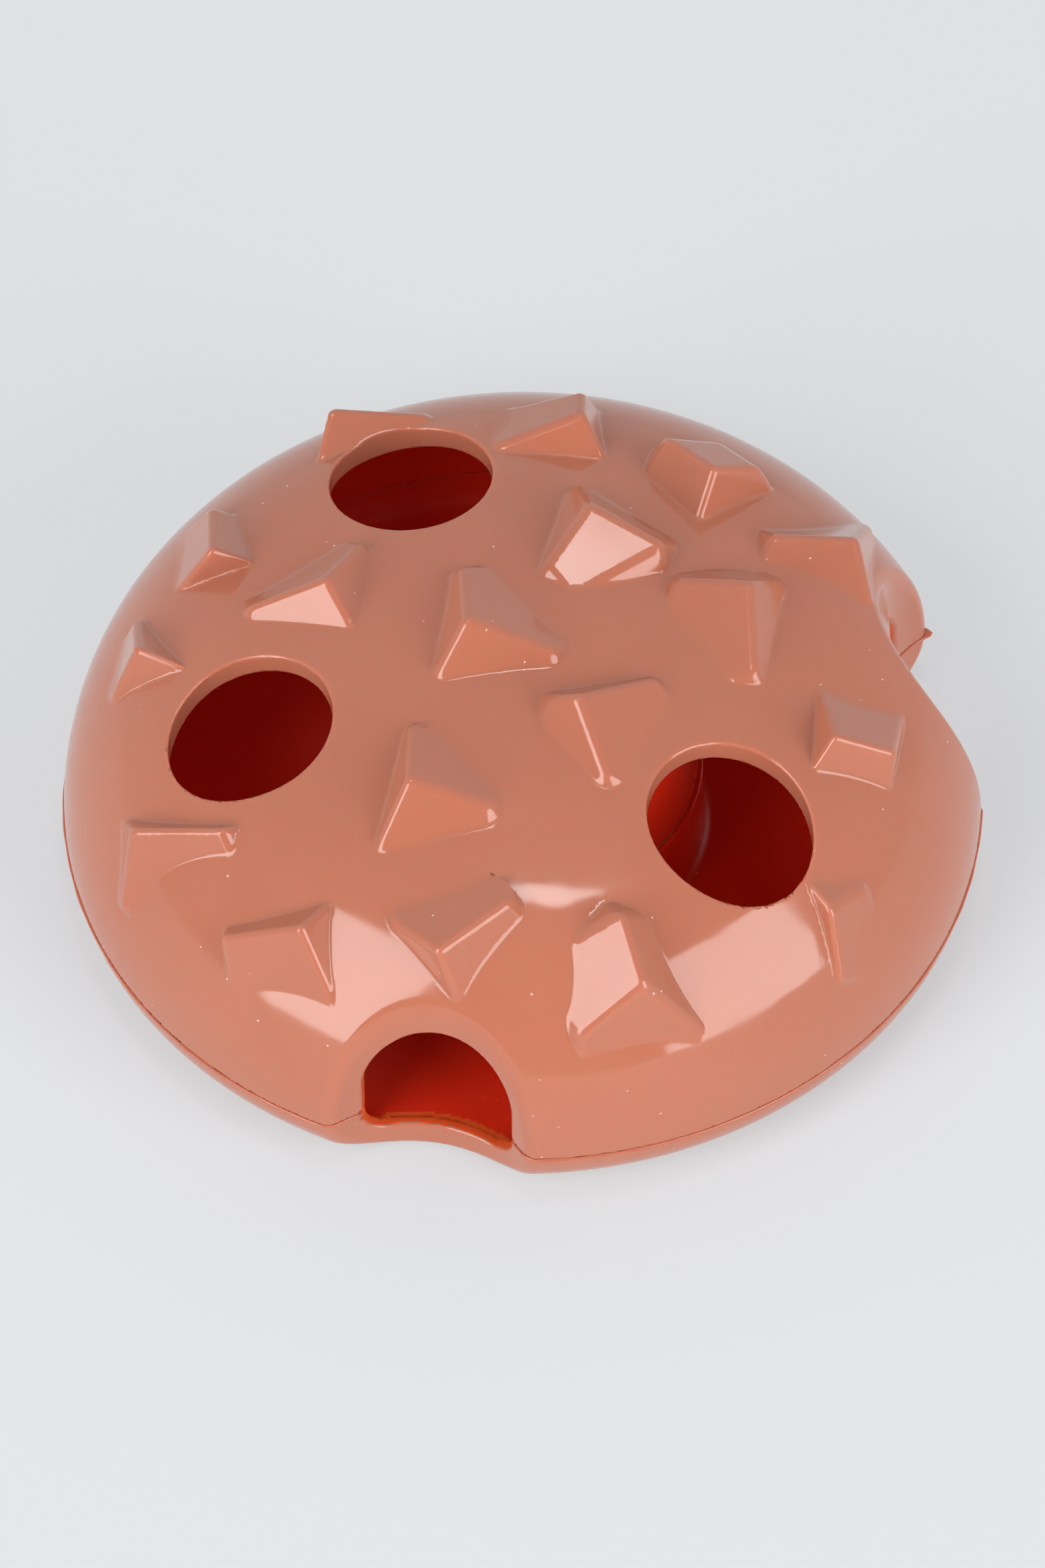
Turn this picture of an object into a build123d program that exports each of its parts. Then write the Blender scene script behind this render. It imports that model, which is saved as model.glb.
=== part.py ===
from build123d import *
from math import asin, cos, hypot, pi, radians, sin, sqrt
import os

# A hollow, cookie-shaped, treat-dispensing dog toy in soft rubber, moulded as two half
# shells that are bonded at the widest line. All sizes are in millimetres, the axis is Z,
# the flat underside is z = 0 and the front bite faces -Y.

# Driving sizes
DIAMETER = 115.0          # over the rim
DOME_HEIGHT = 33.4        # seam to the smooth crown
BASE_DEPTH = 8.0          # seam down to the flat underside, and the lower rim's rounding
RIM_ARC = 29.4            # rounding of the upper rim, seen in section
TOP_WALL = 2.2            # thickness of the crown
SIDE_WALL = 4.0           # thickness at the rim
FLOOR_WALL = 4.0          # thickness of the underside
BITE_WALL = 1.5           # thickness behind each bite
HOLE_DIAMETER = 20.4      # the three treat holes in the dome
PORT_WIDTH = 18.8         # the arched ports in the bites
PORT_SILL = 3.8           # port's flat sill, below the seam
PORT_TOP = 14.7           # port's crown, above the seam
BOND = 0.2                # thickness of the bond line between the two shells
BOND_PROUD = 0.15         # how far the bond line stands out around the rim
POST_RADIUS = 22.0        # round wall around the middle, on the upper shell
POST_WALL = 3.0
POST_JOINT = 7.0          # where its two halves meet, above the seam
POST_STEP = 0.6           # the lower half is this much wider
POST_FLARE = 1.6          # fillet where the lower half stands on the floor
CHUNK_EDGE = 0.8          # rounding of the chunks' edges
FINE_EDGE = 0.25          # the same, on the chunks that have a narrow facet
CHUNK_ROOT = 3.0          # how far a chunk reaches into the shell
CAP_SLOPE = 62.0          # steepness of a chunk's end faces, in degrees from the dome
CAP_REACH = 0.4           # how far outside its corner an end face stands
PORT_CORNER = 3.0         # rounding of the port's two lower corners
RIM_THINNING = 3.0        # the inner rim's rounding is this much tighter than the outer
OVERCUT = 3.0             # how far a cutter runs past what it cuts
STOCK_WIDTH = 40.0        # the plain block that each chunk is cut from
STOCK_HEIGHT = 14.0
TRIM_BLOCK = 60.0         # the plain block that trims it, facet by facet

RADIUS = DIAMETER / 2
SEAM_Z = BASE_DEPTH
SPREAD = DIAMETER / 115   # chunks, holes and bites keep their proportion to its width

# Treat holes: plan position of each centre
HOLES = [(-33.4, -11.2), (25.3, -26.7), (-13.4, 27.6)]

# Bites: bearing, distance from the axis, radius, rounding of the edge, bearing of the port
FRONT_BITE = (-102.5, 66.3, 16.0, 1.2, 75.7)
RIGHT_BITE = (11.7, 61.4, 15.3, 1.2, 184.0)
BITES = [FRONT_BITE, RIGHT_BITE]

# Chocolate chunks. Corners are (x, y, height above the dome); each facet is named by three
# of its corners, and the last entry lists the corners that a steep end face cuts off.
CHUNKS = {
    "back_left": (
        {"a": (-25, 33.5, 1), "v": (-22.5, 37, 5), "c": (-11.5, 39.5, 1), "d": (-20, 44, 1)},
        "vac vcd vad", "acd"),
    "back": (
        {"v": (8, 33, 5), "l": (-2, 32, 1), "r": (10.5, 30.5, 1), "t": (8, 39, 4),
         "m": (4, 41, 1), "n": (10.5, 41, 1)},
        "vlr vlt vrt tmn", "lr"),
    "back_right_block": (
        {"p": (17.5, 29, 5), "q": (24.5, 31, 4), "s": (30, 25.5, 4), "v": (23.5, 22.5, 6),
         "l": (16, 28, 1), "f": (22.5, 19.5, 0.5), "r": (31.5, 27, 0.5), "b": (20.5, 33.5, 0),
         "k": (16.5, 31, 0), "c": (31, 29, 0)},
        "pvs vfl vfr pqb plk sqc", "lr"),
    "slab": (
        {"v": (8.5, 16, 5), "a": (16.5, 9.5, 2.1), "b": (7, 7.5, 0.7), "x": (5.5, 21, 0),
         "y": (2.5, 10, 0), "k": (11.5, 21.5, 0), "m": (17.5, 16.5, 0), "e": (18, 11, 0.8),
         "w": (5.5, 6.5, 0.2), "f": (12, 8.3, 1.2)},
        "vab vxy vkm", "ewf"),
    "right_wedge": (
        {"v": (40, 16, 4.5), "p": (32, 13, 0), "q": (41.5, 10.5, 0), "s": (44.5, 24, 0),
         "u": (44, 12, 0), "k": (32.5, 19.5, 0), "m": (41, 25.5, 0), "e": (30.5, 16, 0.5),
         "f": (43, 9.5, 0.5)},
        "vpq vsu vkm", "ef"),
    "right_shield": (
        {"v": (27.5, 5, 5), "p": (19, 2, 0), "q": (25, -6, 0), "s": (32.5, 6.5, 0),
         "u": (30.5, -4, 0), "k": (21.5, 10, 0), "m": (26.5, 11.5, 0), "r": (32, 11, 0),
         "l": (19, 6, 1), "f": (28, -6.5, 1), "e": (33, 8.5, 0.3)},
        "vpq vsu vkm vrm", "lfe"),
    "left_back": (
        {"v": (-36.5, 13.5, 5), "a": (-41.5, 13.5, 1), "b": (-33.5, 14.5, 1),
         "t": (-37, 24.5, 3), "c": (-40, 27, 0), "d": (-34, 25.5, 0.5)},
        "vab vat vbt tcd", "ab"),
    "left_inner": (
        {"v": (-23, 5.5, 5), "a": (-33, 6, 1.5), "u": (-19.5, 13.5, 2), "f": (-21, 2, 1)},
        "vaf vfu vau", "afu"),
    "left_rim": (
        {"v": (-45, 2, 4.5), "a": (-50, 0.5, 1), "b": (-42, 0, 1), "t": (-47, 10.5, 1.5)},
        "vab vat vbt", "abt"),
    "centre": (
        {"v": (-6.5, -2.5, 5), "t": (-7, 8, 2), "a": (-10, -7, 1.2), "b": (4, -5, 1.5)},
        "vab vat vbt", "abt"),
    "centre_right": (
        {"v": (6.5, -14, 5), "p": (3.5, -16.5, 0), "q": (8.5, -22.5, 0), "s": (17, -13.5, 0),
         "u": (13.5, -21, 0), "k": (8, -9.5, 0), "m": (16, -7.5, 0), "l": (3, -14.5, 0.8),
         "f": (10.5, -23, 0.8), "e": (17.5, -9.5, 0.3)},
        "vpq vsu vkm", "lfe"),
    "right_block": (
        {"v": (36.5, -16, 5), "w": (43.5, -15, 4.5), "p": (35.5, -18.5, 0), "k": (36.5, -6, 0),
         "q": (45, -19, 0), "m": (47.5, -6, 0)},
        "vwp vwk vpk wqm", ""),
    "centre_left": (
        {"v": (-13.5, -24.5, 5), "t": (-13.5, -15.5, 1.5), "a": (-17.5, -30.5, 1),
         "b": (-4, -27, 1.5)},
        "vab vat vbt", "abt"),
    "left_rim_wedge": (
        {"v": (-45.5, -21, 4), "p": (-39.5, -27, 0), "q": (-47, -27, 0), "k": (-47, -18.5, 0),
         "m": (-38, -23.5, 0), "s": (-49.5, -18, 0), "u": (-50, -24, 0),
         "b": (-35.5, -26, 0.3), "c": (-48.5, -26.5, 0.3)},
        "vpq vkm vsu", "bc"),
    "front_left": (
        {"v": (-25.5, -39, 5), "p": (-36, -40.5, 0), "q": (-25, -45.5, 0),
         "s": (-23.5, -36.5, 0), "u": (-23.5, -44.5, 0), "k": (-37, -35, 0),
         "m": (-28, -36.5, 0), "l": (-37, -36.5, 0.5), "n": (-36, -39.5, 0.5)},
        "vpq vsu vkm", "ln"),
    "front": (
        {"v": (-10, -44, 5), "l": (-15.5, -40.5, 1.5), "r": (-2, -39.5, 2.5),
         "f": (-8.5, -48, 1)},
        "vlf vrf vlr", "lrf"),
    "front_right": (
        {"v": (13.5, -46.5, 5), "p": (6, -45, 0), "q": (5.5, -49, 0), "r": (16, -42.5, 0),
         "s": (20.5, -48, 0), "a": (8.5, -52.5, 0), "b": (19.5, -50, 0), "t": (7.5, -42, 0.5),
         "u": (13, -40, 1), "w": (5.5, -51, 0.3)},
        "vpq vrs vab", "tuw"),
    "right_rim": (
        {"t": (35.5, -33.5, 3.2), "f": (38, -39.5, 1), "s": (35.5, -34, 0),
         "q": (41.5, -30, 0.8), "b": (38, -31, 0), "k": (35, -32, 0), "e": (40.5, -38, 0.3)},
        "tfq tfs qbk", "fqe"),
}
FINE_CHUNKS = ("back_left", "back_right_block", "left_back", "left_rim_wedge", "right_block")


def crown_arc(radius, height, rim_arc):
    """Radius of the crown, and height of its centre above the seam, for a dome whose crown
    runs smoothly into its rim."""
    centre = -((radius - rim_arc) ** 2 - (height - rim_arc) ** 2) / (2 * (height - rim_arc))
    return height - centre, centre


def dome(radius, height, rim_arc):
    """Solid dome standing on the seam plane."""
    crown, centre = crown_arc(radius, height, rim_arc)
    turn = asin((radius - rim_arc) / (crown - rim_arc))
    join = (crown * sin(turn), centre + crown * cos(turn))
    crown_mid = (crown * sin(turn / 2), centre + crown * cos(turn / 2))
    rise = (pi / 2 - turn) / 2
    rim_mid = (radius - rim_arc + rim_arc * cos(rise), rim_arc * sin(rise))
    with BuildPart() as body:
        with BuildSketch(Plane.XZ):
            with BuildLine():
                Line((0, 0), (radius, 0))
                ThreePointArc((radius, 0), rim_mid, join)
                ThreePointArc(join, crown_mid, (0, height))
                Line((0, height), (0, 0))
            make_face()
        revolve(axis=Axis.Z)
    return Pos(0, 0, SEAM_Z) * body.part


def dish(radius, depth):
    """Solid lower half: a flat underside with a quarter-round rim."""
    corner = radius - depth + depth * cos(pi / 4)
    with BuildPart() as body:
        with BuildSketch(Plane.XZ):
            with BuildLine():
                Line((0, 0), (radius, 0))
                ThreePointArc((radius, 0), (corner, -depth * sin(pi / 4)), (radius - depth, -depth))
                Line((radius - depth, -depth), (0, -depth))
                Line((0, -depth), (0, 0))
            make_face()
        revolve(axis=Axis.Z)
    return Pos(0, 0, SEAM_Z) * body.part


def bite_centre(bite):
    bearing, distance = bite[0], bite[1] * SPREAD
    return distance * cos(radians(bearing)), distance * sin(radians(bearing))


def bite_cutter(bite, wall=0.0):
    """Upright cylinder that takes the bite out, or its wall when that has a thickness."""
    x, y = bite_centre(bite)
    return Pos(x, y, SEAM_Z) * Cylinder(bite[2] * SPREAD + wall, 4 * DOME_HEIGHT)


def outer_form():
    """Outside of the whole toy, without its chunks: dome and dish, two rounded bites."""
    form = dome(RADIUS, DOME_HEIGHT, RIM_ARC) + dish(RADIUS, BASE_DEPTH)
    for bite in BITES:
        form = form - bite_cutter(bite)
        x, y = bite_centre(bite)
        reach = bite[2] * SPREAD + OVERCUT
        near = [
            edge for edge in form.edges()
            if hypot(edge.center().X - x, edge.center().Y - y) < reach
        ]
        form = fillet(near, bite[3])
    return form


def dome_point(x, y, height):
    """A point over plan position x, y, that stands the given height proud of the dome, and
    the direction square to the dome there."""
    crown, centre = crown_arc(RADIUS, DOME_HEIGHT, RIM_ARC)
    reach = hypot(x, y)
    if reach < crown * (RADIUS - RIM_ARC) / (crown - RIM_ARC):
        middle, arc = Vector(0, 0, SEAM_Z + centre), crown
    else:
        out = (RADIUS - RIM_ARC) / reach
        middle, arc = Vector(x * out, y * out, SEAM_Z), RIM_ARC
    flat = Vector(x - middle.X, y - middle.Y, 0)
    normal = (flat + Vector(0, 0, sqrt(arc ** 2 - flat.length ** 2))).normalized()
    return middle + normal * (arc + height), normal


def half_space(point, normal):
    """Everything beyond a plane, near enough: a block that trims a chunk."""
    block = Box(TRIM_BLOCK, TRIM_BLOCK, TRIM_BLOCK, align=(Align.CENTER, Align.CENTER, Align.MIN))
    return Plane(origin=point, z_dir=normal) * block


def chunk(corners, facets, ends, rounding):
    """One chocolate chunk: a block cut to its facets, with softened edges."""
    spread = {k: (x * SPREAD, y * SPREAD, h * SPREAD) for k, (x, y, h) in corners.items()}
    places = {k: dome_point(x, y, h) for k, (x, y, h) in spread.items()}
    count = len(corners)
    middle_x = sum(x for x, y, h in spread.values()) / count
    middle_y = sum(y for x, y, h in spread.values()) / count
    middle_h = sum(h for x, y, h in spread.values()) / count
    inside, upright = dome_point(middle_x, middle_y, min(1.0, middle_h / 2))
    root = inside - upright * CHUNK_ROOT
    block = Plane(origin=root, z_dir=upright) * Box(
        STOCK_WIDTH, STOCK_WIDTH, STOCK_HEIGHT, align=(Align.CENTER, Align.CENTER, Align.MIN))
    for facet in facets.split():
        first, second, third = (places[letter][0] for letter in facet)
        normal = (second - first).cross(third - first).normalized()
        if normal.dot(inside - first) > 0:
            normal = normal * -1
        block = block - half_space(first, normal)
    for letter in ends:
        point, square = places[letter]
        out = Vector(point.X - middle_x, point.Y - middle_y, 0)
        out = (out - square * out.dot(square)).normalized()
        slope = radians(CAP_SLOPE)
        foot = point + out * CAP_REACH
        block = block - half_space(foot, out * sin(slope) + square * cos(slope))
    sharp = [
        edge for edge in block.edges() if (edge.center() - root).dot(upright) > CHUNK_ROOT / 10
    ]
    return fillet(sharp, rounding)


def hollow():
    """The space inside: it follows the outside, and steps back from each bite."""
    inner = RADIUS - SIDE_WALL
    space = dome(inner, DOME_HEIGHT - TOP_WALL, RIM_ARC - RIM_THINNING)
    space = space + dish(inner, BASE_DEPTH - FLOOR_WALL)
    for bite in BITES:
        space = space - bite_cutter(bite, BITE_WALL)
    return space


def port_cutter(bite):
    """Arched opening: flat sill with round corners, upright sides and a half-round top."""
    half = PORT_WIDTH / 2
    spring = PORT_TOP - half
    x, y = bite_centre(bite)
    face = Plane(
        origin=(x, y, SEAM_Z),
        x_dir=(-sin(radians(bite[4])), cos(radians(bite[4])), 0),
        z_dir=(cos(radians(bite[4])), sin(radians(bite[4])), 0),
    )
    body = Pos(0, (spring - PORT_SILL) / 2) * Rectangle(PORT_WIDTH, spring + PORT_SILL)
    body = fillet(body.vertices().group_by(Axis.Y)[0], PORT_CORNER)
    outline = body + Pos(0, spring) * Circle(half)
    return extrude(face * outline, bite[2] * SPREAD + BITE_WALL + OVERCUT)


def hole_cutter(place):
    x, y = place[0] * SPREAD, place[1] * SPREAD
    foot = SEAM_Z + POST_JOINT + OVERCUT
    return Pos(x, y, foot) * Cylinder(
        HOLE_DIAMETER / 2, DOME_HEIGHT, align=(Align.CENTER, Align.CENTER, Align.MIN))


def openings():
    cutters = [hole_cutter(place) for place in HOLES]
    return cutters + [port_cutter(bite) for bite in BITES]


def tube(outer, bore, low, high):
    wall = Cylinder(outer, high - low, align=(Align.CENTER, Align.CENTER, Align.MIN))
    wall = wall - Cylinder(bore, high - low, align=(Align.CENTER, Align.CENTER, Align.MIN))
    return Pos(0, 0, low) * wall


def layer(low, high):
    """A wide slab between two heights, for cutting the toy into its halves."""
    slab = Box(2 * DIAMETER, 2 * DIAMETER, high - low,
               align=(Align.CENTER, Align.CENTER, Align.MIN))
    return Pos(0, 0, low) * slab


def upper_shell(form, space):
    shell = form & layer(SEAM_Z + BOND / 2, SEAM_Z + 2 * DOME_HEIGHT)
    for name, (corners, facets, ends) in CHUNKS.items():
        rounding = FINE_EDGE if name in FINE_CHUNKS else CHUNK_EDGE
        shell = shell + chunk(corners, facets, ends, rounding)
    shell = shell - space
    post_foot = SEAM_Z + POST_JOINT + BOND / 2
    post = tube(POST_RADIUS, POST_RADIUS - POST_WALL, post_foot, SEAM_Z + DOME_HEIGHT)
    post = post & space
    shell = shell + post
    for cutter in openings():
        shell = shell - cutter
    return shell


def lower_shell(form, space):
    shell = (form & layer(0, SEAM_Z - BOND / 2)) - space
    floor = SEAM_Z - BASE_DEPTH + FLOOR_WALL
    outer = POST_RADIUS + POST_STEP
    top = SEAM_Z + POST_JOINT - BOND / 2
    shell = shell + tube(outer, POST_RADIUS - POST_WALL, floor - 1, top)
    root = [
        edge for edge in shell.edges()
        if abs(edge.center(CenterOf.BOUNDING_BOX).Z - floor) < 0.01
        and abs(edge.length - 2 * pi * outer) < 0.1
    ]
    shell = fillet(root, POST_FLARE)
    for cutter in openings():
        shell = shell - cutter
    return shell


def rim_outline(radius, grow, rounded):
    """Outline of the rim at the seam: a disc with two bites, offset outwards or inwards."""
    outline = Circle(radius)
    for bite in BITES:
        x, y = bite_centre(bite)
        outline = outline - Pos(x, y) * Circle(bite[2] * SPREAD - grow)
        if rounded:
            reach = bite[2] * SPREAD + OVERCUT
            corners = [p for p in outline.vertices() if hypot(p.X - x, p.Y - y) < reach]
            outline = fillet(corners, bite[3] + grow)
    return outline


def rim_bond():
    """Thin line of cement between the shells, slightly proud of the rim. The ports part it
    into a short run, between the two bites, and a long one around the rest."""
    band = rim_outline(RADIUS + BOND_PROUD, BOND_PROUD, True)
    band = band - rim_outline(RADIUS - SIDE_WALL, -BITE_WALL, False)
    band = Pos(0, 0, SEAM_Z - BOND / 2) * extrude(band, BOND)
    for bite in BITES:
        band = band - port_cutter(bite)
    return [Part(run.wrapped) for run in band.solids().sort_by(SortBy.VOLUME)]


def post_bond():
    middle = SEAM_Z + POST_JOINT
    return tube(POST_RADIUS, POST_RADIUS - POST_WALL, middle - BOND / 2, middle + BOND / 2)


def main():
    os.makedirs("parts", exist_ok=True)
    form = outer_form()
    space = hollow()
    short_run, long_run = rim_bond()
    pieces = {
        "upper_shell": upper_shell(form, space),
        "lower_shell": lower_shell(form, space),
        "rim_bond_short": short_run,
        "rim_bond_long": long_run,
        "post_bond": post_bond(),
    }
    for name, piece in pieces.items():
        piece.label = name
        export_step(piece, f"parts/{name}.step")


main()
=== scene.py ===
from math import atan2, cos, hypot, pi, radians, sin, sqrt, tan

import bpy
import numpy as np
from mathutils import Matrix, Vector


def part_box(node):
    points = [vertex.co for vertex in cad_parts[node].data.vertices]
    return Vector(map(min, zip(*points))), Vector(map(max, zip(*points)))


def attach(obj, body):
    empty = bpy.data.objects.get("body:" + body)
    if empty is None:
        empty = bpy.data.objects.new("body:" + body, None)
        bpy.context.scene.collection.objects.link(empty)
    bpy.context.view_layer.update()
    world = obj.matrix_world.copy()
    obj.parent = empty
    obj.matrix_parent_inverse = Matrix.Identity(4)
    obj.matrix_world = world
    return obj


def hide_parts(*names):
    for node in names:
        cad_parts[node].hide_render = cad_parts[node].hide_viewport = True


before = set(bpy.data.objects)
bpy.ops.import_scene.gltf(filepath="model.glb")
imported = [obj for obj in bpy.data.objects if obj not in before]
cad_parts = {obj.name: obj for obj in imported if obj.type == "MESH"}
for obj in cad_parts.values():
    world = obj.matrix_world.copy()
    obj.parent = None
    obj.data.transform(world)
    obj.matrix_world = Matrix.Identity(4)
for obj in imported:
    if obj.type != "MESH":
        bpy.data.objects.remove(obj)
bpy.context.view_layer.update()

import openvdb
from mathutils import Matrix, Vector

# A hollow, cookie-shaped treat toy for a dog, moulded in glossy salmon rubber as two half
# shells that are cemented at the rim. Shapes are worked out in millimetres, with heights
# measured from the seam, and turned to metres when a mesh is made.

MM = 1000.0
BODY = "root"
LIGHT_DISTANCE = 2.0      # metres

# Sizes that the frame gives
SEAM_HEIGHT = (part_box("rim_bond_long")[0].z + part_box("rim_bond_long")[1].z) / 2 * MM
BOND = (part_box("rim_bond_long")[1].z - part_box("rim_bond_long")[0].z) * MM
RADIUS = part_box("lower_shell")[1].y * MM
BASE_DEPTH = SEAM_HEIGHT
POST_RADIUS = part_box("post_bond")[1].x * MM
POST_JOINT = (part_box("post_bond")[0].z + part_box("post_bond")[1].z) / 2 * MM - SEAM_HEIGHT

# Sizes of the moulding
DOME_HEIGHT = 33.4        # seam to the smooth crown
RIM_ARC = 29.4            # rounding of the upper rim, in section
TOP_WALL = 2.2
SIDE_WALL = 4.0
FLOOR_WALL = 4.0
BITE_WALL = 1.5
RIM_THINNING = 3.0        # the inner rim's rounding is this much tighter
HOLE_RADIUS = 10.2
PORT_HALF_WIDTH = 9.4
PORT_SILL = 3.8
PORT_TOP = 14.7
PORT_CORNER = 3.0
POST_WALL = 3.0
POST_STEP = 0.6           # the lower half of the inner wall is this much wider
POST_FLARE = 1.6          # fillet at the foot of the inner wall
CUT_EDGE = 0.35           # rounding of the trimmed edges of holes and ports
SEAM_GAP = 0.01           # what the cement leaves open at the seam, each side of it
SEAM_EDGE = 0.22          # rounding of both shells where they meet
CHUNK_EDGE = 0.8          # rounding of the chunks' ridges
CHUNK_FOOT = 0.3          # fillet where a chunk runs into the dome
CAP_LEAN = radians(62)    # steepness of a chunk's end faces
CAP_REACH = 0.4
BEAD = 0.2                # radius of the cement bead around the rim
BEAD_STEP = 0.3           # spacing of the points along it
BEAD_SIDES = 8
NIB_BEARING = radians(26.5)
NIB_WIDTH = 0.45
NIB_REACH = 4.0           # how far the nib of flash stands out, in bead radii
LIP = 2.2                 # how far in the ports' thin edges let light through
MARGIN = 1.5              # room around the shape while it is meshed

VOXEL = 0.4               # grain of the meshing
COARSE = 5                # coarse cells are this many voxels wide

HOLES = [(-33.4, -11.2), (25.3, -26.7), (-13.4, 27.6)]

# Bites: bearing and distance from the axis, radius, rounding of the edge, bearing of the port
BITES = [(-102.5, 66.3, 16.0, 1.2, 75.7), (11.7, 61.4, 15.3, 1.2, 184.0)]

# Nicks torn in the ports' edges when the flash was pulled off at the seam:
# which bite, side of the port, height above the seam, radius
NICKS = [
    (0, 1, 0.1, 0.75), (0, 1, -1.1, 0.45), (0, -1, 0.3, 0.5),
    (1, -1, 0.0, 0.5), (1, 1, 0.2, 0.6),
]

# Chocolate chunks. Corners are (x, y, height above the dome); each facet is named by three
# of its corners, and the last entry lists the corners that a steep end face cuts off.
CHUNKS = {
    "back_left": (
        {"a": (-25, 33.5, 1), "v": (-22.5, 37, 5), "c": (-11.5, 39.5, 1), "d": (-20, 44, 1)},
        "vac vcd vad", "acd"),
    "back": (
        {"v": (8, 33, 5), "l": (-2, 32, 1), "r": (10.5, 30.5, 1), "t": (8, 39, 4),
         "m": (4, 41, 1), "n": (10.5, 41, 1)},
        "vlr vlt vrt tmn", "lr"),
    "back_right_block": (
        {"p": (17.5, 29, 5), "q": (24.5, 31, 4), "s": (30, 25.5, 4), "v": (23.5, 22.5, 6),
         "l": (16, 28, 1), "f": (22.5, 19.5, 0.5), "r": (31.5, 27, 0.5), "b": (20.5, 33.5, 0),
         "k": (16.5, 31, 0), "c": (31, 29, 0)},
        "pvs vfl vfr pqb plk sqc", "lr"),
    "slab": (
        {"v": (8.5, 16, 5), "a": (16.5, 9.5, 2.1), "b": (7, 7.5, 0.7), "x": (5.5, 21, 0),
         "y": (2.5, 10, 0), "k": (11.5, 21.5, 0), "m": (17.5, 16.5, 0), "e": (18, 11, 0.8),
         "w": (5.5, 6.5, 0.2), "f": (12, 8.3, 1.2)},
        "vab vxy vkm", "ewf"),
    "right_wedge": (
        {"v": (40, 16, 4.5), "p": (32, 13, 0), "q": (41.5, 10.5, 0), "s": (44.5, 24, 0),
         "u": (44, 12, 0), "k": (32.5, 19.5, 0), "m": (41, 25.5, 0), "e": (30.5, 16, 0.5),
         "f": (43, 9.5, 0.5)},
        "vpq vsu vkm", "ef"),
    "right_shield": (
        {"v": (27.5, 5, 5), "p": (19, 2, 0), "q": (25, -6, 0), "s": (32.5, 6.5, 0),
         "u": (30.5, -4, 0), "k": (21.5, 10, 0), "m": (26.5, 11.5, 0), "r": (32, 11, 0),
         "l": (19, 6, 1), "f": (28, -6.5, 1), "e": (33, 8.5, 0.3)},
        "vpq vsu vkm vrm", "lfe"),
    "left_back": (
        {"v": (-36.5, 13.5, 5), "a": (-41.5, 13.5, 1), "b": (-33.5, 14.5, 1),
         "t": (-37, 24.5, 3), "c": (-40, 27, 0), "d": (-34, 25.5, 0.5)},
        "vab vat vbt tcd", "ab"),
    "left_inner": (
        {"v": (-23, 5.5, 5), "a": (-33, 6, 1.5), "u": (-19.5, 13.5, 2), "f": (-21, 2, 1)},
        "vaf vfu vau", "afu"),
    "left_rim": (
        {"v": (-45, 2, 4.5), "a": (-50, 0.5, 1), "b": (-42, 0, 1), "t": (-47, 10.5, 1.5)},
        "vab vat vbt", "abt"),
    "centre": (
        {"v": (-6.5, -2.5, 5), "t": (-7, 8, 2), "a": (-10, -7, 1.2), "b": (4, -5, 1.5)},
        "vab vat vbt", "abt"),
    "centre_right": (
        {"v": (6.5, -14, 5), "p": (3.5, -16.5, 0), "q": (8.5, -22.5, 0), "s": (17, -13.5, 0),
         "u": (13.5, -21, 0), "k": (8, -9.5, 0), "m": (16, -7.5, 0), "l": (3, -14.5, 0.8),
         "f": (10.5, -23, 0.8), "e": (17.5, -9.5, 0.3)},
        "vpq vsu vkm", "lfe"),
    "right_block": (
        {"v": (36.5, -16, 5), "w": (43.5, -15, 4.5), "p": (35.5, -18.5, 0), "k": (36.5, -6, 0),
         "q": (45, -19, 0), "m": (47.5, -6, 0)},
        "vwp vwk vpk wqm", ""),
    "centre_left": (
        {"v": (-13.5, -24.5, 5), "t": (-13.5, -15.5, 1.5), "a": (-17.5, -30.5, 1),
         "b": (-4, -27, 1.5)},
        "vab vat vbt", "abt"),
    "left_rim_wedge": (
        {"v": (-45.5, -21, 4), "p": (-39.5, -27, 0), "q": (-47, -27, 0), "k": (-47, -18.5, 0),
         "m": (-38, -23.5, 0), "s": (-49.5, -18, 0), "u": (-50, -24, 0),
         "b": (-35.5, -26, 0.3), "c": (-48.5, -26.5, 0.3)},
        "vpq vkm vsu", "bc"),
    "front_left": (
        {"v": (-25.5, -39, 5), "p": (-36, -40.5, 0), "q": (-25, -45.5, 0),
         "s": (-23.5, -36.5, 0), "u": (-23.5, -44.5, 0), "k": (-37, -35, 0),
         "m": (-28, -36.5, 0), "l": (-37, -36.5, 0.5), "n": (-36, -39.5, 0.5)},
        "vpq vsu vkm", "ln"),
    "front": (
        {"v": (-10, -44, 5), "l": (-15.5, -40.5, 1.5), "r": (-2, -39.5, 2.5),
         "f": (-8.5, -48, 1)},
        "vlf vrf vlr", "lrf"),
    "front_right": (
        {"v": (13.5, -46.5, 5), "p": (6, -45, 0), "q": (5.5, -49, 0), "r": (16, -42.5, 0),
         "s": (20.5, -48, 0), "a": (8.5, -52.5, 0), "b": (19.5, -50, 0), "t": (7.5, -42, 0.5),
         "u": (13, -40, 1), "w": (5.5, -51, 0.3)},
        "vpq vrs vab", "tuw"),
    "right_rim": (
        {"t": (35.5, -33.5, 3.2), "f": (38, -39.5, 1), "s": (35.5, -34, 0),
         "q": (41.5, -30, 0.8), "b": (38, -31, 0), "k": (35, -32, 0), "e": (40.5, -38, 0.3)},
        "tfq tfs qbk", "fqe"),
}


# ---- The shape, as distances: negative inside the rubber, positive outside ----

def meet(first, second, rounding):
    """Where both solids are, with a rounded edge between them."""
    inner = np.minimum(-rounding, np.maximum(first, second))
    return inner + np.hypot(np.maximum(rounding + first, 0), np.maximum(rounding + second, 0))


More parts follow.
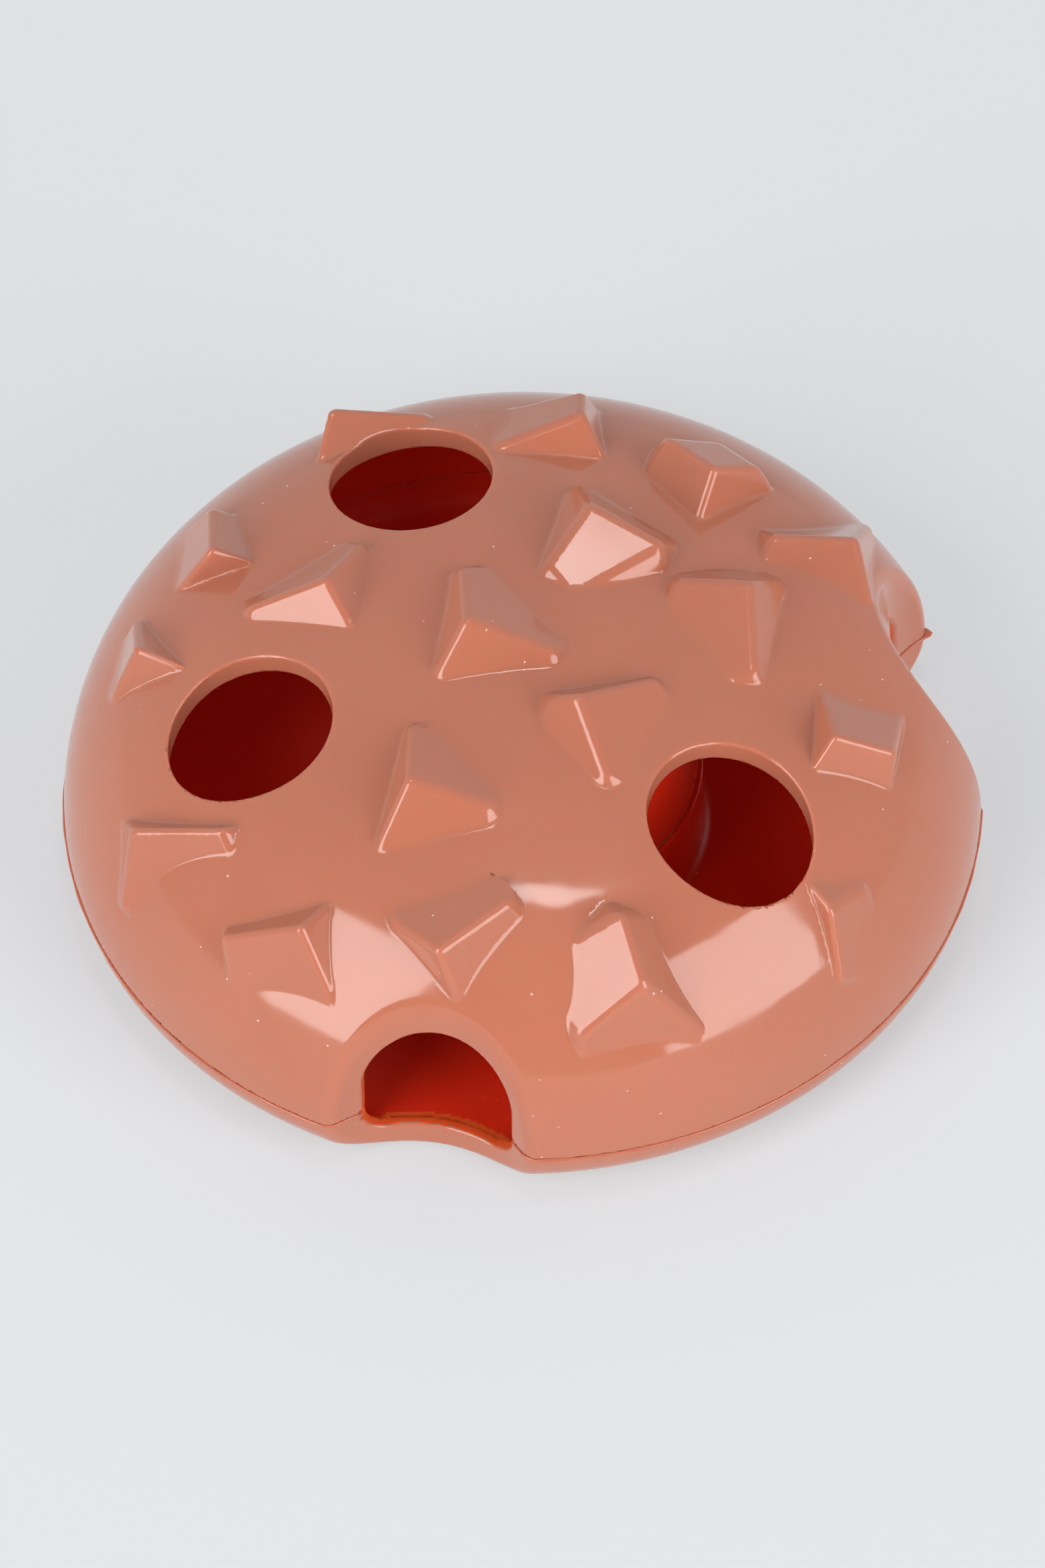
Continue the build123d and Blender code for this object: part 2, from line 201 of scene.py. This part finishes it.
def join(first, second, rounding):
    """Where either solid is, with a fillet between them."""
    outer = np.maximum(rounding, np.minimum(first, second))
    return outer - np.hypot(np.maximum(rounding - first, 0), np.maximum(rounding - second, 0))


def crown_arc(radius, height, arc):
    """Radius of the crown, and height of its centre, where it runs smoothly into its rim."""
    centre = -((radius - arc) ** 2 - (height - arc) ** 2) / (2 * (height - arc))
    return height - centre, centre


def cookie(x, y, z, radius, height, arc, depth):
    """Dome over a flat dish with a quarter-round rim."""
    crown, centre = crown_arc(radius, height, arc)
    lean = (radius - arc) / (crown - arc)
    reach = np.hypot(x, y)
    over_crown = np.hypot(reach, z - centre) - crown
    over_rim = np.hypot(reach - (radius - arc), z) - arc
    dome = np.where(reach * sqrt(1 - lean ** 2) > (z - centre) * lean, over_rim, over_crown)
    corner = np.hypot(reach - (radius - depth), z) - depth
    dish = np.where(reach > radius - depth, corner, -z - depth)
    return np.where(z >= 0, dome, dish)


def bite_centre(bite):
    return bite[1] * cos(radians(bite[0])), bite[1] * sin(radians(bite[0]))


def from_bite(x, y, bite):
    """Distance from the middle of a bite."""
    middle_x, middle_y = bite_centre(bite)
    return np.hypot(x - middle_x, y - middle_y)


def outside_form(x, y, z):
    """The outside without chunks."""
    form = cookie(x, y, z, RADIUS, DOME_HEIGHT, RIM_ARC, BASE_DEPTH)
    for bite in BITES:
        form = meet(form, bite[2] - from_bite(x, y, bite), bite[3])
    return form


def hollow(x, y, z):
    """The space inside: it follows the outside and steps back from each bite."""
    space = cookie(x, y, z, RADIUS - SIDE_WALL, DOME_HEIGHT - TOP_WALL, RIM_ARC - RIM_THINNING,
                   BASE_DEPTH - FLOOR_WALL)
    for bite in BITES:
        space = np.maximum(space, bite[2] + BITE_WALL - from_bite(x, y, bite))
    return space


def dome_point(x, y, height):
    """A point that stands the given height proud of the dome, and the direction square to it."""
    crown, centre = crown_arc(RADIUS, DOME_HEIGHT, RIM_ARC)
    reach = hypot(x, y)
    if reach < crown * (RADIUS - RIM_ARC) / (crown - RIM_ARC):
        middle, arc = Vector((0, 0, centre)), crown
    else:
        out = (RADIUS - RIM_ARC) / reach
        middle, arc = Vector((x * out, y * out, 0)), RIM_ARC
    flat = Vector((x - middle.x, y - middle.y, 0))
    normal = (flat + Vector((0, 0, sqrt(arc ** 2 - flat.length_squared)))).normalized()
    return middle + normal * (arc + height), normal


def chunk_planes(corners, facets, ends):
    """A chunk's middle, its reach, and the planes that bound it."""
    places = {letter: dome_point(*corner) for letter, corner in corners.items()}
    count = len(corners)
    middle_x = sum(corner[0] for corner in corners.values()) / count
    middle_y = sum(corner[1] for corner in corners.values()) / count
    middle_h = sum(corner[2] for corner in corners.values()) / count
    inside = dome_point(middle_x, middle_y, min(1.0, middle_h / 2))[0]
    planes = []
    for facet in facets.split():
        first, second, third = (places[letter][0] for letter in facet)
        normal = (second - first).cross(third - first).normalized()
        if normal.dot(inside - first) > 0:
            normal = -normal
        planes.append((normal, normal.dot(first)))
    for letter in ends:
        point, square = places[letter]
        out = Vector((point.x - middle_x, point.y - middle_y, 0))
        out = (out - square * out.dot(square)).normalized()
        normal = out * sin(CAP_LEAN) + square * cos(CAP_LEAN)
        planes.append((normal, normal.dot(point + out * CAP_REACH)))
    reach = max((place[0] - inside).length for place in places.values()) + 2 * CHUNK_EDGE
    return inside, reach, planes


def add_chunks(shape, x, y, z):
    """The chunks, run into the dome with a small fillet."""
    depth_of_root = SIDE_WALL
    for corners, facets, ends in CHUNKS.values():
        inside, reach, planes = chunk_planes(corners, facets, ends)
        near = (x - inside.x) ** 2 + (y - inside.y) ** 2 + (z - inside.z) ** 2 < reach ** 2
        local_x, local_y, local_z = x[near], y[near], z[near]
        block = None
        for normal, offset in planes:
            side = local_x * normal.x + local_y * normal.y + local_z * normal.z - offset
            block = side if block is None else meet(block, side, CHUNK_EDGE)
        block = np.maximum(block, -(shape[near] + depth_of_root))
        shape[near] = join(shape[near], block, CHUNK_FOOT)
    return shape


def port(x, y, z, bite):
    """Arched opening: flat sill with round corners, upright sides and a half-round top."""
    middle_x, middle_y = bite_centre(bite)
    ahead_x, ahead_y = cos(radians(bite[4])), sin(radians(bite[4]))
    ahead = (x - middle_x) * ahead_x + (y - middle_y) * ahead_y
    aside = np.abs((y - middle_y) * ahead_x - (x - middle_x) * ahead_y)
    spring = PORT_TOP - PORT_HALF_WIDTH
    arch = np.hypot(aside, z - spring) - PORT_HALF_WIDTH
    past_side = aside - (PORT_HALF_WIDTH - PORT_CORNER)
    past_sill = -z - (PORT_SILL - PORT_CORNER)
    corner = np.hypot(np.maximum(past_side, 0), np.maximum(past_sill, 0))
    straight = corner + np.minimum(np.maximum(past_side, past_sill), 0) - PORT_CORNER
    outline = np.where(z > spring, arch, straight)
    reach = bite[2] + BITE_WALL + SIDE_WALL
    return np.maximum(outline, np.maximum(-ahead, ahead - reach))


def nick(x, y, z, which, side, height, size):
    """A small tear at the edge of a port."""
    bite = BITES[which]
    middle_x, middle_y = bite_centre(bite)
    ahead_x, ahead_y = cos(radians(bite[4])), sin(radians(bite[4]))
    along = sqrt(bite[2] ** 2 - PORT_HALF_WIDTH ** 2) + size / 2
    place_x = middle_x + along * ahead_x - side * PORT_HALF_WIDTH * ahead_y
    place_y = middle_y + along * ahead_y + side * PORT_HALF_WIDTH * ahead_x
    return np.sqrt((x - place_x) ** 2 + (y - place_y) ** 2 + ((z - height) * 1.6) ** 2) - size


def cut_openings(shape, x, y, z):
    """Trims out the three holes, the two ports and the nicks in the ports' edges."""
    above_wall = POST_JOINT + SIDE_WALL
    for hole_x, hole_y in HOLES:
        bore = np.maximum(np.hypot(x - hole_x, y - hole_y) - HOLE_RADIUS, above_wall - z)
        shape = meet(shape, -bore, CUT_EDGE)
    for bite in BITES:
        shape = meet(shape, -port(x, y, z, bite), CUT_EDGE)
    for which, side, height, size in NICKS:
        shape = meet(shape, -nick(x, y, z, which, side, height, size), CUT_EDGE / 2)
    return shape


def inner_wall(x, y, outer):
    """Upright tube around the axis."""
    inner = POST_RADIUS - POST_WALL
    reach = np.hypot(x, y)
    return np.maximum(reach - outer, inner - reach)


def upper_shell(x, y, z):
    """Dome with its chunks and holes, and the upper half of the inner wall."""
    body = outside_form(x, y, z)
    shape = add_chunks(body.copy(), x, y, z)
    shape = meet(np.maximum(shape, -hollow(x, y, z)), SEAM_GAP - z, SEAM_EDGE)
    foot = POST_JOINT + BOND / 2
    wall = np.maximum(inner_wall(x, y, POST_RADIUS), body + TOP_WALL / 2)
    shape = join(shape, meet(wall, foot - z, SEAM_EDGE), POST_STEP)
    return cut_openings(shape, x, y, z)


def lower_shell(x, y, z):
    """Dish with its floor, and the lower half of the inner wall."""
    body = outside_form(x, y, z)
    shape = meet(np.maximum(body, -hollow(x, y, z)), z + SEAM_GAP, SEAM_EDGE)
    top = POST_JOINT - BOND / 2
    wall = np.maximum(inner_wall(x, y, POST_RADIUS + POST_STEP), -z - BASE_DEPTH + FLOOR_WALL / 2)
    shape = join(shape, meet(wall, z - top, SEAM_EDGE), POST_FLARE)
    return cut_openings(shape, x, y, z)


# ---- Meshes ----

def slopes(shape, points):
    """Distance at each point, and the direction in which it grows fastest."""
    step = VOXEL / 20
    here = shape(*points.T)
    slope = np.empty_like(points)
    for axis in range(3):
        ahead = points.copy()
        ahead[:, axis] += step
        slope[:, axis] = (shape(*ahead.T) - here) / step
    return here, slope


def sample(shape, low, high):
    """The shape's distances on a fine grid, worked out only near its surface."""
    cell = VOXEL * COARSE
    count = [int((b - a) / cell) + 1 for a, b in zip(low, high)]
    middles = [a + (np.arange(n) + 0.5) * cell for a, n in zip(low, count)]
    coarse = shape(*(axis.ravel() for axis in np.meshgrid(*middles, indexing="ij")))
    coarse = coarse.reshape(count)
    band = 2 * VOXEL
    near = np.abs(coarse) < cell * sqrt(3) / 2 + band
    fine = np.where(coarse > 0, band, -band)
    for axis in range(3):
        near = near.repeat(COARSE, axis)
        fine = fine.repeat(COARSE, axis)
    spots = [a + (np.arange(n * COARSE) + 0.5) * VOXEL for a, n in zip(low, count)]
    where = np.nonzero(near)
    values = shape(*(spots[axis][where[axis]] for axis in range(3)))
    fine[where] = np.clip(values, -band, band)
    return fine


def mesh_of(name, shape, low, high):
    """A closed mesh of the shape, with its points moved exactly onto it."""
    grid = openvdb.FloatGrid()
    grid.background = 2 * VOXEL
    grid.copyFromArray(sample(shape, low, high).astype(np.float32))
    points, quads = grid.convertToQuads(0.0)
    points = np.array(low) + (points.astype(float) + 0.5) * VOXEL
    for settle in range(3):
        gap, slope = slopes(shape, points)
        steep = np.maximum((slope ** 2).sum(1), 0.25)
        move = np.clip(gap / steep, -VOXEL / 2, VOXEL / 2)
        points -= slope * move[:, None]
    slope = slopes(shape, points)[1]
    normals = slope / np.maximum(np.linalg.norm(slope, axis=1), 1e-6)[:, None]
    corners = points[quads[:, :3]]
    facing = np.cross(corners[:, 1] - corners[:, 0], corners[:, 2] - corners[:, 0])
    if (facing * normals[quads[:, 0]]).sum() < 0:
        quads = quads[:, ::-1]
    points[:, 2] += SEAM_HEIGHT
    return new_piece(name, points, quads, normals)


def new_piece(name, points, quads, normals=None):
    """A Blender object from points in millimetres, riding on the toy's one body."""
    mesh = bpy.data.meshes.new(name)
    mesh.vertices.add(len(points))
    mesh.vertices.foreach_set("co", (np.asarray(points) / MM).astype(np.float32).ravel())
    mesh.loops.add(quads.size)
    mesh.loops.foreach_set("vertex_index", np.ascontiguousarray(quads, dtype=np.int32).ravel())
    mesh.polygons.add(len(quads))
    mesh.polygons.foreach_set("loop_start", np.arange(0, quads.size, 4, dtype=np.int32))
    mesh.polygons.foreach_set("use_smooth", np.ones(len(quads), bool))
    mesh.update(calc_edges=True)
    if normals is not None:
        mesh.normals_split_custom_set_from_vertices(normals.tolist())
    piece = bpy.data.objects.new(name, mesh)
    bpy.context.scene.collection.objects.link(piece)
    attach(piece, BODY)
    return piece


def mark_inside(piece):
    """Gives the faces around the treat chamber the second material, whose deep red colour and
    glow are painted shade and painted light coming through the walls, and the cut edges of the
    ports the third, whose orange colour and glow are painted light coming through the thin edges."""
    mesh = piece.data
    middles = np.empty(len(mesh.polygons) * 3, np.float32)
    mesh.polygons.foreach_get("center", middles)
    x, y, z = middles.reshape(-1, 3).astype(float).T * MM
    z = z - SEAM_HEIGHT
    deep = (outside_form(x, y, z) < -TOP_WALL * 0.75) & (hollow(x, y, z) < POST_FLARE * 0.1)
    lip = np.zeros(len(x), bool)
    for bite in BITES:
        through = from_bite(x, y, bite) - bite[2]
        lip |= (np.abs(port(x, y, z, bite)) < CUT_EDGE) & (through > CUT_EDGE) & (through < LIP)
    kind = np.where(lip, 2, deep.astype(np.int32))
    mesh.polygons.foreach_set("material_index", kind.astype(np.int32))


# ---- Cement bead around the rim ----

def rim_reach(bearing):
    """How far out the rim is at the seam, in each bearing."""
    low = np.full_like(bearing, RADIUS / 2)
    high = np.full_like(bearing, RADIUS + 1)
    for halving in range(30):
        middle = (low + high) / 2
        outside = outside_form(middle * np.cos(bearing), middle * np.sin(bearing), 0 * middle) > 0
        high = np.where(outside, middle, high)
        low = np.where(outside, low, middle)
    return low


def port_edges(bite):
    """Bearings, seen from the axis, at which the two sides of a port meet the rim."""
    middle_x, middle_y = bite_centre(bite)
    ahead_x, ahead_y = cos(radians(bite[4])), sin(radians(bite[4]))
    along = sqrt(bite[2] ** 2 - PORT_HALF_WIDTH ** 2)
    edges = []
    for side in (-PORT_HALF_WIDTH, PORT_HALF_WIDTH):
        edges.append(atan2(middle_y + along * ahead_y + side * ahead_x,
                           middle_x + along * ahead_x - side * ahead_y))
    return sorted(edges)


def bead(name, start, stop):
    """A run of the bead between two bearings: slightly uneven, with a nib of flash."""
    bearing = np.linspace(start, stop, int((stop - start) / (BEAD_STEP / RADIUS)))
    reach = rim_reach(bearing)
    path = np.stack([reach * np.cos(bearing), reach * np.sin(bearing), 0 * reach], 1)
    run = np.concatenate([[0], np.cumsum(np.linalg.norm(np.diff(path, axis=0), axis=1))])
    tangent = np.gradient(path, axis=0)
    tangent /= np.linalg.norm(tangent, axis=1)[:, None]
    out = np.stack([tangent[:, 1], -tangent[:, 0], 0 * reach], 1)
    uneven = 1 + 0.16 * np.sin(run / 2.3) + 0.12 * np.sin(run / 0.9 + 1)
    nib = NIB_REACH * np.exp(-(((bearing - NIB_BEARING) * RADIUS / NIB_WIDTH) ** 2))
    fade = np.clip(np.minimum(run, run[-1] - run) / 1.2, 0.05, 1)
    wide = BEAD * (uneven + nib) * fade
    tall = BEAD * uneven * fade
    sides = BEAD_SIDES
    points = []
    for side in range(sides):
        turn = 2 * pi * side / sides
        points.append(path + out * (wide * cos(turn))[:, None]
                      + np.array([0, 0, 1.0]) * (tall * sin(turn))[:, None])
    points = np.stack(points, 1).reshape(-1, 3)
    steps, around = np.meshgrid(np.arange(len(path) - 1), np.arange(sides), indexing="ij")
    here, there = steps * sides, (steps + 1) * sides
    after = (around + 1) % sides
    quads = np.stack([here + around, there + around, there + after, here + after], -1)
    quads = quads.reshape(-1, 4)
    first = np.arange(sides)
    last = first + (len(path) - 1) * sides
    caps = [[0, 1, 2, 3], [0, 3, 4, 7], [4, 5, 6, 7]]
    quads = np.vstack([quads, first[caps], last[caps][:, ::-1]])
    points[:, 2] += SEAM_HEIGHT
    return new_piece(name, points, quads)


# ---- Materials ----

def linear(hex_colour):
    """sRGB hex to the linear colour that a shader takes."""
    parts = [int(hex_colour[at:at + 2], 16) / 255 for at in (1, 3, 5)]
    return [c / 12.92 if c <= 0.04045 else ((c + 0.055) / 1.055) ** 2.4 for c in parts] + [1.0]


def add(tree, kind, inputs=None, **settings):
    """Adds one node. Inputs are given by socket, as a value or as another node's output."""
    made = tree.nodes.new(kind)
    for setting, value in settings.items():
        setattr(made, setting, value)
    for socket, value in (inputs or {}).items():
        if isinstance(value, bpy.types.NodeSocket):
            tree.links.new(value, made.inputs[socket])
        else:
            made.inputs[socket].default_value = value
    return made


def new_material(name):
    """An empty node material, and its node tree."""
    material = bpy.data.materials.new(name)
    material.use_nodes = True
    material.node_tree.nodes.clear()
    return material, material.node_tree


def mix_colour(tree, factor, first, second):
    """Colour between two, by a factor."""
    sockets = {0: factor, 6: first, 7: second}
    return add(tree, "ShaderNodeMix", sockets, data_type="RGBA")


def per_metre(millimetres):
    """Noise scale that gives features of that size."""
    return MM / millimetres


def rubber(name, deep, bright, tone, gloss, glow):
    """Injection-moulded thermoplastic rubber, filled with pigment and slightly translucent.
    The polished mould leaves a wet gloss with faint flow marks, so highlights are sharp with
    a little ripple, light that enters comes out red through the thin walls, and the tacky
    skin holds pale specks of dust."""
    material, tree = new_material(name)
    place = add(tree, "ShaderNodeTexCoord").outputs["Object"]
    flow = add(tree, "ShaderNodeTexNoise", {
        "Vector": place, "Scale": per_metre(24), "Detail": 3.0, "Distortion": 0.6})
    colour = mix_colour(tree, flow.outputs["Fac"], linear(deep), linear(bright))
    cells = add(tree, "ShaderNodeTexVoronoi", {"Vector": place, "Scale": per_metre(3.2)})
    speck = add(tree, "ShaderNodeMapRange", {
        "Value": cells.outputs["Distance"], "From Min": 0.03, "From Max": 0.055,
        "To Min": 0.8, "To Max": 0.0})
    clumps = add(tree, "ShaderNodeTexNoise", {
        "Vector": place, "Scale": per_metre(9), "Detail": 1.0})
    dusty = add(tree, "ShaderNodeMapRange", {
        "Value": clumps.outputs["Fac"], "From Min": 0.52, "From Max": 0.6,
        "To Min": 0.0, "To Max": speck.outputs["Result"]})
    colour = mix_colour(tree, dusty.outputs["Result"], colour.outputs[2], linear("#F2DDD2"))
    wave = add(tree, "ShaderNodeTexNoise", {
        "Vector": place, "Scale": per_metre(7), "Detail": 1.0})
    smooth = add(tree, "ShaderNodeMapRange", {
        "Value": wave.outputs["Fac"], "From Min": 0.3, "From Max": 0.7,
        "To Min": gloss - 0.03, "To Max": gloss + 0.05})
    grain = add(tree, "ShaderNodeTexNoise", {
        "Vector": place, "Scale": per_metre(1.1), "Detail": 2.0})
    peel = add(tree, "ShaderNodeBump", {
        "Height": grain.outputs["Fac"], "Strength": 0.3, "Distance": 0.00002})
    ripple = add(tree, "ShaderNodeBump", {
        "Height": wave.outputs["Fac"], "Strength": 0.5, "Distance": 0.00014,
        "Normal": peel.outputs["Normal"]})
    shader = add(tree, "ShaderNodeBsdfPrincipled", {
        "Base Color": colour.outputs[2], "Roughness": smooth.outputs["Result"], "IOR": 1.5,
        "Normal": ripple.outputs["Normal"], "Subsurface Weight": 1.0,
        "Subsurface Radius": tone, "Subsurface Scale": glow / MM})
    add(tree, "ShaderNodeOutputMaterial", {"Surface": shader.outputs["BSDF"]})
    return material


def light_through(material, colour, strength):
    """Painted light: an emitted glow that stands in for light reaching the inside through the
    thin, pigmented wall.
    """
    shader = next(n for n in material.node_tree.nodes if n.type == "BSDF_PRINCIPLED")
    shader.inputs["Emission Color"].default_value = linear(colour)
    shader.inputs["Emission Strength"].default_value = strength


def lit_acrylic():
    """Opal acrylic sheet, sanded matt and lit from below: an even pale ground that shows
    hardly any shadow."""
    material, tree = new_material("opal_acrylic_sheet")
    shader = add(tree, "ShaderNodeBsdfPrincipled", {
        "Base Color": linear("#929496"), "Roughness": 0.95, "Specular IOR Level": 0.0,
        "Emission Color": linear("#FBFDFF"), "Emission Strength": 0.42})
    add(tree, "ShaderNodeOutputMaterial", {"Surface": shader.outputs["BSDF"]})
    return material


# ---- The toy ----

skin = rubber("moulded_salmon_rubber", "#AE6A52", "#B5725A", (2.2, 0.8, 0.5), 0.09, 0.3)
# The inside is the same salmon rubber as the skin; its deep red colour and faint emission are
# painted shade and painted light coming through the walls.
inside = rubber("moulded_rubber_inside_painted_shade_and_glow", "#C4240F", "#D03016", (3.2, 0.7, 0.4), 0.3, 1.0)
# The ports' thin cut edges are the same rubber too; their orange colour and emission are painted
# light coming through them.
lit_edge = rubber("moulded_rubber_thin_lit_edge", "#B8441C", "#C85424", (2.6, 0.8, 0.4), 0.3, 0.8)
cement = rubber("rubber_cement_bead", "#A85C44", "#B4684E", (1.5, 0.6, 0.4), 0.2, 0.4)
light_through(inside, "#FF2A12", 0.028)
light_through(lit_edge, "#FF6A28", 0.08)

half_width = RADIUS + MARGIN
top_of_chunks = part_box("upper_shell")[1].z * MM - SEAM_HEIGHT
upper = mesh_of(
    "upper_shell_moulding", upper_shell,
    (-half_width, -half_width, -MARGIN),
    (half_width, half_width, top_of_chunks + MARGIN))
lower = mesh_of(
    "lower_shell_moulding", lower_shell,
    (-half_width, -half_width, -BASE_DEPTH - MARGIN),
    (half_width, half_width, POST_JOINT + MARGIN))
for piece, node in ((upper, "upper_shell"), (lower, "lower_shell")):
    for finish in (skin, inside, lit_edge):
        piece.data.materials.append(finish)
    mark_inside(piece)
    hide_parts(node)

front_edges, right_edges = port_edges(BITES[0]), port_edges(BITES[1])
runs = {
    "rim_bond_short": ("cement_bead_short", front_edges[1], right_edges[0]),
    "rim_bond_long": ("cement_bead_long", right_edges[1], front_edges[0] + 2 * pi),
}
for node, (name, start, stop) in runs.items():
    run = bead(name, start, stop)
    run.data.materials.append(cement)
    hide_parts(node)

post_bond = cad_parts["post_bond"]
post_bond.data.materials.clear()
post_bond.data.materials.append(cement)


# ---- Floor, light and camera ----

def stage_floor():
    """A flat sheet, just below the underside so that the two don't share a plane."""
    half, drop = 2.0, 0.0001
    corners = [
        (-half, -half, -drop), (half, -half, -drop),
        (half, half, -drop), (-half, half, -drop),
    ]
    mesh = bpy.data.meshes.new("floor")
    mesh.from_pydata(corners, [], [(0, 1, 2, 3)])
    floor = bpy.data.objects.new("floor", mesh)
    bpy.context.scene.collection.objects.link(floor)
    mesh.materials.append(lit_acrylic())


def softbox(name, direction, wide, high, radiance):
    """A rectangular soft light that faces the toy. Its breadth and height are angles as seen
    from the toy, in degrees."""
    lamp = bpy.data.lights.new(name, "AREA")
    lamp.shape = "RECTANGLE"
    lamp.size = 2 * LIGHT_DISTANCE * tan(radians(wide / 2))
    lamp.size_y = 2 * LIGHT_DISTANCE * tan(radians(high / 2))
    lamp.energy = radiance * pi * lamp.size * lamp.size_y
    holder = bpy.data.objects.new(name, lamp)
    bpy.context.scene.collection.objects.link(holder)
    towards = Vector(direction).normalized()
    holder.location = towards * LIGHT_DISTANCE + Vector((0, 0, SEAM_HEIGHT / MM))
    holder.rotation_euler = towards.to_track_quat("Z", "Y").to_euler()


def white_surround(front, rear):
    """Even white light that is weaker from the front, where the room is dark."""
    world = bpy.data.worlds.new("white_surround")
    world.use_nodes = True
    tree = world.node_tree
    tree.nodes.clear()
    towards = add(tree, "ShaderNodeSeparateXYZ", {
        "Vector": add(tree, "ShaderNodeTexCoord").outputs["Generated"]})
    strength = add(tree, "ShaderNodeMapRange", {
        "Value": towards.outputs["Y"], "From Min": -0.8, "From Max": 1.0,
        "To Min": front, "To Max": rear})
    back = add(tree, "ShaderNodeBackground", {
        "Color": linear("#F4F7FA"), "Strength": strength.outputs["Result"]})
    add(tree, "ShaderNodeOutputWorld", {"Surface": back.outputs["Background"]})
    bpy.context.scene.world = world


def place_camera():
    """A long lens, looking down at the toy's front."""
    elevation, roll = radians(50.95), radians(-0.83)
    distance = 1.5
    back = Vector((0, -cos(elevation), sin(elevation)))
    up = Vector((0, sin(elevation), cos(elevation)))
    lens = bpy.data.cameras.new("camera")
    lens.sensor_fit = "VERTICAL"
    lens.sensor_height = 36.0
    lens.lens = 274.7
    lens.clip_end = 20.0
    camera = bpy.data.objects.new("camera", lens)
    bpy.context.scene.collection.objects.link(camera)
    aim = Vector((0, 0, SEAM_HEIGHT / MM)) + up * 0.00146
    turn = Matrix((Vector((1, 0, 0)), up, back)).transposed() @ Matrix.Rotation(roll, 3, "Z")
    camera.matrix_world = Matrix.Translation(aim + back * distance) @ turn.to_4x4()
    bpy.context.scene.camera = camera


stage_floor()
white_surround(0.12, 0.9)
softbox("left_front_softbox", (-0.63, -0.62, 0.47), 31, 54, 6.4)
softbox("right_front_softbox", (0.72, -0.62, 0.31), 40, 48, 5.4)
softbox("overhead_panel", (0.05, -0.04, 1.0), 8, 13, 8.5)
place_camera()
bpy.context.scene.view_settings.view_transform = "Standard"
